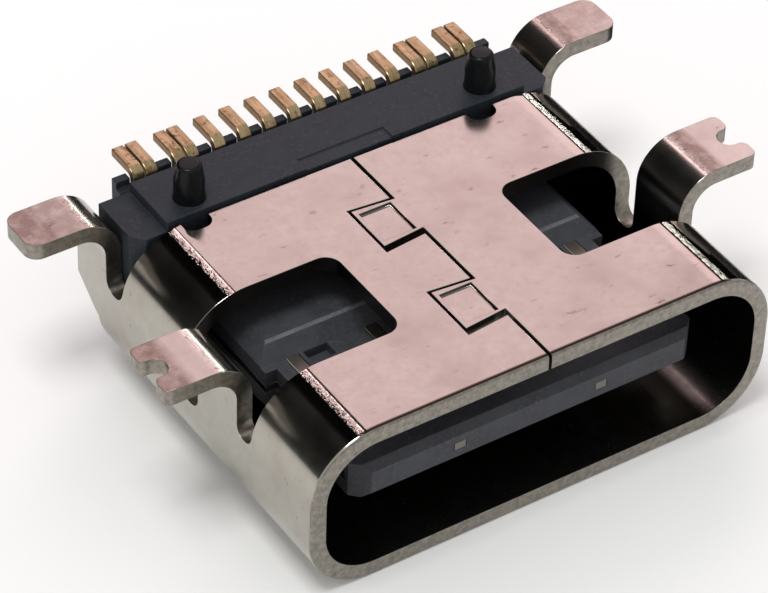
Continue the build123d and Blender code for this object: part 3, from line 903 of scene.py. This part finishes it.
def moulding_copy(node):
    """Mesh of a CAD node in millimetres from the mouth, its triangles merged into flat faces."""
    bm = new_piece()
    bm.from_mesh(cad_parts[node].data)
    bmesh.ops.scale(bm, vec=(1 / MM, 1 / MM, 1 / MM), verts=bm.verts)
    bmesh.ops.translate(bm, vec=(0, -MOUTH, 0), verts=bm.verts)
    bmesh.ops.remove_doubles(bm, verts=bm.verts[:], dist=WELD)
    merge_flat(bm)
    for face in bm.faces:
        face.material_index = 0
    return bm


def merge_flat(bm):
    """Merge neighbouring faces of a moulding that lie in one plane."""
    bmesh.ops.dissolve_limit(
        bm, angle_limit=math.radians(MOULDED_FLATNESS), verts=bm.verts[:], edges=bm.edges[:]
    )


def cut_off_pegs(bm, strip_top):
    """Cut off the pegs of the CAD node just above the strip, and close the strip under them."""
    everything = bm.verts[:] + bm.edges[:] + bm.faces[:]
    bmesh.ops.bisect_plane(
        bm, geom=everything, dist=WELD / 2, plane_co=(0, 0, strip_top + WELD), plane_no=(0, 0, 1),
        clear_outer=True,
    )
    bmesh.ops.remove_doubles(bm, verts=bm.verts[:], dist=2 * WELD)
    open_edges = [edge for edge in bm.edges if edge.is_boundary]
    bmesh.ops.holes_fill(bm, edges=open_edges, sides=0)
    merge_flat(bm)


def add_peg(bm, sizes, x):
    """Spin a locating peg onto the strip: flared foot, straight shank, tapered and rounded end."""
    foot = sizes.strip_top
    shank = foot + sizes.peg_foot
    taper = shank + sizes.peg_shank
    top = taper + sizes.peg_taper
    profile = [
        (0, foot),
        (sizes.peg_foot_width / 2, foot),
        (sizes.peg_width / 2, shank),
        (sizes.peg_width / 2, taper),
    ]
    lean = (sizes.peg_width - sizes.peg_top_width) / 2 * sizes.peg_round / sizes.peg_taper
    shoulder = sizes.peg_top_width / 2 - sizes.peg_round
    round_steps = 6
    for i in range(round_steps + 1):
        turn = QUARTER * i / round_steps
        swell = sizes.peg_round * math.cos(turn) + lean * math.cos(turn) ** 2
        profile.append((shoulder + swell, top - sizes.peg_round * (1 - math.sin(turn))))
    profile.append((0, top))
    verts = [bm.verts.new((x + radius, sizes.peg_depth, height)) for radius, height in profile]
    edges = [bm.edges.new(pair) for pair in zip(verts, verts[1:])]
    bmesh.ops.spin(
        bm, geom=verts + edges, cent=(x, sizes.peg_depth, 0), axis=(0, 0, 1),
        angle=2 * math.pi, steps=48, use_merge=True,
    )


class SOCKET_OT_housing(bpy.types.Operator):
    """Finish the rear housing: rounded mouldings and smooth locating pegs"""

    bl_idname = "socket.housing"
    bl_label = "Rear housing"

    block, pegs = range(2)

    def execute(self, context):
        sizes = in_mm(context.scene.socket_mouldings)
        finishes = context.scene.socket_finishes
        bm = moulding_copy("housing")
        cut_off_pegs(bm, sizes.strip_top)
        break_edges(bm, sharp_edges(bm, MOULDED_CORNER), sizes.edge_break)
        block_faces = set(bm.faces)
        for side in (-1, 1):
            add_peg(bm, sizes, side * sizes.peg_spacing / 2)
        for face in bm.faces:
            face.material_index = self.block if face in block_faces else self.pegs
        bmesh.ops.remove_doubles(bm, verts=bm.verts[:], dist=WELD / 10)
        bmesh.ops.recalc_face_normals(bm, faces=bm.faces[:])
        materials = [
            moulded_plastic(
                "moulded_charcoal_polymer", finishes.plastic, finishes.plastic_pale,
                roughness=0.48, specular=0.2,
            ),
            # The pegs are painted darker than the block as dark reflection; their lower roughness is real.
            moulded_plastic(
                "polished_black_polymer", finishes.peg, finishes.peg_pale, roughness=0.24, specular=0.16
            ),
        ]
        finish_piece(bm, "moulded_housing", "housing", materials)
        return {"FINISHED"}


class SOCKET_OT_insulator(bpy.types.Operator):
    """Finish the two wafers of the tongue and the plate between them"""

    bl_idname = "socket.insulator"
    bl_label = "Tongue wafers and plate"

    def execute(self, context):
        sizes = in_mm(context.scene.socket_mouldings)
        finishes = context.scene.socket_finishes
        # The tongue's plastic is painted paler than the housing's, as light inside the shell.
        plastic = [
            moulded_plastic(
                "moulded_grey_polymer", finishes.wafer, finishes.wafer_pale, roughness=0.48, specular=0.2
            ),
            # The ridge's paler, shinier plastic is a painted highlight.
            moulded_plastic(
                "ridge_highlight_grey_polymer", finishes.wafer_ridge_highlight, finishes.wafer_pale,
                roughness=0.35, specular=0.5,
            ),
        ]
        for node, slot, materials in (
            ("wafer_a", "black_plastic", plastic),
            ("wafer_b", "black_plastic", plastic),
            ("mid_plate", "plate_steel", [plate_steel(finishes)]),
        ):
            bm = moulding_copy(node)
            self.round_ridge(bm, sizes)
            break_edges(bm, sharp_edges(bm, MOULDED_CORNER), sizes.wafer_break)
            finish_piece(bm, f"{node}_finished", node, materials)
        return {"FINISHED"}

    def round_ridge(self, bm, sizes):
        """Round the ridge where the thick base of the tongue begins, and give it a paler finish as a painted
        highlight.
        """
        ridge = [
            edge for edge in sharp_edges(bm, MOULDED_CORNER)
            if all(abs(vert.co.y - sizes.ridge_depth) < sizes.wafer_break for vert in edge.verts)
        ]
        break_edges(bm, ridge, sizes.ridge_round, segments=4)
        rounding = bm.faces.layers.int["rounding"]
        for face in bm.faces:
            face.material_index = face[rounding]


def contact_places(sizes):
    """Node, place on the tongue and place of the tail of every contact."""
    # Places are counted outwards from the middle. The outer tails stand in pairs, one of each row.
    split = (sizes.tail + sizes.pair_gap) / 2
    near = 3.5 * sizes.pitch + sizes.pair_step
    far = near + sizes.pair_pitch
    tongue = [share * sizes.pitch for share in (5.5, 2.5, 1.5, 0.5)]
    tails = {
        "a": (far + split, near + split, 2.5 * sizes.pitch, 0.5 * sizes.pitch),
        "b": (far - split, near - split, 3.5 * sizes.pitch, 1.5 * sizes.pitch),
    }
    rising, falling = (1, 4, 5, 6), (12, 9, 8, 7)
    found = []
    for row, numbers in (("a", {1: rising, -1: falling}), ("b", {1: falling, -1: rising})):
        for side in (1, -1):
            for number, place, tail in zip(numbers[side], tongue, tails[row]):
                found.append((f"contact_{row}{number}", side * place, side * tail))
    return found


def grow(bm, edge, to_y, to_z, x, width):
    """Extrude the end of a strip to a new place and width."""
    grown = bmesh.ops.extrude_edge_only(bm, edges=[edge])["geom"]
    ends = sorted((v for v in grown if isinstance(v, bmesh.types.BMVert)), key=lambda v: v.co.x)
    for vert, side in zip(ends, (-1, 1)):
        vert.co = (x + side * width / 2, to_y, to_z)
    return next(item for item in grown if isinstance(item, bmesh.types.BMEdge))


def turn_strip(bm, edge, centre_y, centre_z, angle):
    """Spin the end of a strip round a bend."""
    spun = bmesh.ops.spin(
        bm, geom=[edge, *edge.verts], cent=(0, centre_y, centre_z), axis=(1, 0, 0),
        angle=angle, steps=9, use_merge=False,
    )["geom_last"]
    return next(item for item in spun if isinstance(item, bmesh.types.BMEdge))


class SOCKET_OT_contacts(bpy.types.Operator):
    """Form the sixteen contact strips: blade on the tongue, upright and solder tail"""

    bl_idname = "socket.contacts"
    bl_label = "Contacts"

    gold, copper = range(2)

    def execute(self, context):
        sizes = in_mm(context.scene.socket_contacts)
        finishes = context.scene.socket_finishes
        materials = [gold_flash(finishes, sizes), copper_edge(finishes)]
        for node, place, tail in contact_places(sizes):
            low, high = (corner / MM - Vector((0, MOUTH, 0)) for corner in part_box(node))
            bm = self.strip(sizes, place, tail, low, high)
            finish_piece(bm, f"{node}_strip", node, materials)
        return {"FINISHED"}

    def strip(self, sizes, place, tail, low, high):
        """One strip between the corners of its node, made along its lower side and then thickened."""
        outer = sizes.bend + sizes.thickness
        bend_y = sizes.housing_rear + sizes.riser_gap - sizes.bend
        jog_rear = bend_y - sizes.jog_end
        upright = bend_y + outer
        turn = high.z - outer
        bm = new_piece()
        ends = [bm.verts.new((place + side * sizes.blade / 2, low.y, low.z)) for side in (-1, 1)]
        edge = bm.edges.new(ends)
        edge = grow(bm, edge, jog_rear - sizes.jog, low.z, place, sizes.blade)
        edge = grow(bm, edge, jog_rear, low.z, tail, sizes.tail)
        edge = grow(bm, edge, bend_y, low.z, tail, sizes.tail)
        edge = turn_strip(bm, edge, bend_y, low.z + outer, QUARTER)
        edge = grow(bm, edge, upright, turn, tail, sizes.tail)
        edge = turn_strip(bm, edge, upright + sizes.bend, turn, -QUARTER)
        grow(bm, edge, high.y, turn + sizes.bend, tail, sizes.tail)
        bmesh.ops.recalc_face_normals(bm, faces=bm.faces[:])
        if bm.faces[0].normal.z > 0:
            bmesh.ops.reverse_faces(bm, faces=bm.faces[:])
        bmesh.ops.solidify(bm, geom=bm.faces[:], thickness=sizes.thickness)
        bmesh.ops.recalc_face_normals(bm, faces=bm.faces[:])
        # The sides of the strip and the end of its tail are sheared and show copper.
        looks_sideways = 0.7
        for face in bm.faces:
            at_end = face.calc_center_median().y > high.y - sizes.edge_break
            sheared = at_end or abs(face.normal.x) > looks_sideways
            face.material_index = self.copper if sheared else self.gold
        break_edges(bm, sharp_edges(bm, STRIP_CORNER), sizes.edge_break)
        return bm


class SOCKET_OT_stage(bpy.types.Operator):
    """Set up the camera, the pale floor and the studio light"""

    bl_idname = "socket.stage"
    bl_label = "Stage"

    def execute(self, context):
        scene = context.scene
        stage = scene.socket_stage
        scene.view_settings.view_transform = "Standard"
        self.camera(scene)
        self.floor(scene, stage)
        self.light(scene, stage)
        return {"FINISHED"}

    def camera(self, scene):
        """Camera fitted to the photograph's frame of 768 by 593 pixels."""
        azimuth, elevation, roll = (math.radians(angle) for angle in (-34.377, 40.762, 1.980))
        focal_pixels = 3895.28
        frame_pixels = 768
        target = Vector((-0.0867, 4.5977 + MOUTH, 1.0411)) * MM
        distance = 65.747 * MM
        level = math.cos(elevation)
        back = Vector((math.sin(azimuth) * level, -math.cos(azimuth) * level, math.sin(elevation)))
        right = Vector((math.cos(azimuth), math.sin(azimuth), 0))
        up = back.cross(right)
        across = right * math.cos(roll) + up * math.sin(roll)
        upward = up * math.cos(roll) - right * math.sin(roll)
        lens = bpy.data.cameras.new("camera")
        lens.sensor_fit = "HORIZONTAL"
        lens.sensor_width = 36
        lens.lens = focal_pixels * lens.sensor_width / frame_pixels
        lens.clip_start = MM
        camera = bpy.data.objects.new("camera", lens)
        camera.matrix_world = Matrix.Translation(target + back * distance) @ Matrix(
            (across, upward, back)
        ).transposed().to_4x4()
        scene.collection.objects.link(camera)
        scene.camera = camera

    def stage_piece(self, scene, bm, name, finish, tone, roughness, specular):
        """Plain matt mesh that belongs to the stage."""
        material = bpy.data.materials.new(finish)
        material.use_nodes = True
        tree = material.node_tree
        set_inputs(
            tree, tree.nodes["Principled BSDF"],
            {"Base Color": rgba(tone), "Roughness": roughness, "Specular IOR Level": specular},
        )
        mesh = bpy.data.meshes.new(name)
        bm.to_mesh(mesh)
        bm.free()
        mesh.materials.append(material)
        piece = bpy.data.objects.new(name, mesh)
        scene.collection.objects.link(piece)
        return piece

    def floor(self, scene, stage):
        """Wide pale floor under the socket."""
        bm = bmesh.new()
        bmesh.ops.create_grid(bm, x_segments=1, y_segments=1, size=1.0)
        self.stage_piece(scene, bm, "floor", "pale_paper", stage.floor, roughness=0.9, specular=0.1)

    def card(self, scene, stage, name, width, height, turn, centre):
        """Dark card that is seen only in mirrored light."""
        bm = bmesh.new()
        bmesh.ops.create_grid(bm, x_segments=1, y_segments=1, size=0.5)
        bmesh.ops.scale(bm, vec=(width, height, 1), verts=bm.verts)
        bmesh.ops.rotate(bm, cent=(0, 0, 0), matrix=turn, verts=bm.verts)
        bmesh.ops.translate(bm, vec=centre, verts=bm.verts)
        finish = f"{name}_black_flock"
        card = self.stage_piece(scene, bm, name, finish, stage.card, roughness=1.0, specular=0.0)
        card.visible_camera = False
        card.visible_diffuse = False
        card.visible_shadow = False

    def lamp(self, scene, name, tint, direction, distance, along, across, radiance):
        """Rectangular soft light that faces the socket, sized along the socket's depth and across it."""
        lamp = bpy.data.lights.new(name, "AREA")
        lamp.shape = "RECTANGLE"
        lamp.size = along
        lamp.size_y = across
        lamp.color = tint
        lamp.energy = radiance * math.pi * along * across
        away = Vector(direction).normalized()
        depth = Vector((0, 1, 0))
        long_side = (depth - away * depth.dot(away)).normalized()
        turned = Matrix((long_side, away.cross(long_side), away)).transposed()
        holder = bpy.data.objects.new(name, lamp)
        holder.matrix_world = Matrix.Translation(away * distance) @ turned.to_4x4()
        scene.collection.objects.link(holder)

    def light(self, scene, stage):
        """Even room light, a key from above, soft lights for the metal to mirror, and dark cards."""
        world = bpy.data.worlds.new("room")
        world.use_nodes = True
        background = world.node_tree.nodes["Background"]
        background.inputs["Color"].default_value = rgba(stage.room)
        scene.world = world
        white = (1.0, 1.0, 1.0)
        pink = stage.softbox[:]
        near, far = 120 * MM, 150 * MM
        self.lamp(
            scene, "key", white, direction=(-0.25, -0.08, 0.96),
            distance=far, along=50 * MM, across=50 * MM, radiance=10.5,
        )
        # The board face and the pads mirror the two softboxes.
        self.lamp(
            scene, "softbox", pink, direction=(0.411, 0.662, 0.627),
            distance=near, along=50 * MM, across=76 * MM, radiance=1.5,
        )
        self.lamp(
            scene, "softbox_right", pink, direction=(0.588, 0.604, 0.539),
            distance=near, along=50 * MM, across=30 * MM, radiance=0.4,
        )
        # The die marks on the left-hand and right-hand folds mirror the strips.
        self.lamp(
            scene, "left_strip", pink, direction=(0.071, 0.625, 0.777),
            distance=near, along=40 * MM, across=7 * MM, radiance=5.0,
        )
        self.lamp(
            scene, "right_strip", white, direction=(0.692, 0.625, 0.362),
            distance=near, along=40 * MM, across=5 * MM, radiance=10.0,
        )
        # One card stands behind the socket and one lies on the floor, where the folds and legs mirror them.
        self.card(
            scene, stage, "back_card", width=660 * MM, height=320 * MM,
            turn=Matrix.Rotation(QUARTER, 3, "X"), centre=(0, 200 * MM, 160 * MM),
        )
        self.card(
            scene, stage, "side_card", width=200 * MM, height=200 * MM,
            turn=Matrix.Identity(3), centre=(108.6 * MM, 99 * MM, 0.1 * MM),
        )


class SOCKET_PT_panel(bpy.types.Panel):
    """Sidebar list of the socket's pieces and their sizes"""

    bl_idname = "SOCKET_PT_panel"
    bl_label = "Board socket"
    bl_space_type = "VIEW_3D"
    bl_region_type = "UI"
    bl_category = "Socket"

    def draw(self, context):
        layout = self.layout
        for operator in PIECES:
            layout.operator(operator.bl_idname)
        for name in GROUPS:
            group = getattr(context.scene, name)
            box = layout.box()
            for setting in group.__annotations__:
                box.prop(group, setting)


PIECES = (
    SOCKET_OT_shell,
    SOCKET_OT_housing,
    SOCKET_OT_insulator,
    SOCKET_OT_contacts,
    SOCKET_OT_stage,
)
GROUPS = {
    "socket_shell": SocketShellSizes,
    "socket_contacts": SocketContactSizes,
    "socket_mouldings": SocketMouldingSizes,
    "socket_finishes": SocketFinishes,
    "socket_stage": SocketStage,
}


def register():
    for group in GROUPS.values():
        bpy.utils.register_class(group)
    for name, group in GROUPS.items():
        setattr(bpy.types.Scene, name, PointerProperty(type=group))
    for operator in PIECES:
        bpy.utils.register_class(operator)
    bpy.utils.register_class(SOCKET_PT_panel)


def unregister():
    bpy.utils.unregister_class(SOCKET_PT_panel)
    for operator in reversed(PIECES):
        bpy.utils.unregister_class(operator)
    for name, group in reversed(GROUPS.items()):
        delattr(bpy.types.Scene, name)
        bpy.utils.unregister_class(group)


def main():
    register()
    bpy.ops.socket.shell()
    bpy.ops.socket.housing()
    bpy.ops.socket.insulator()
    bpy.ops.socket.contacts()
    bpy.ops.socket.stage()


if __name__ == "__main__":
    main()
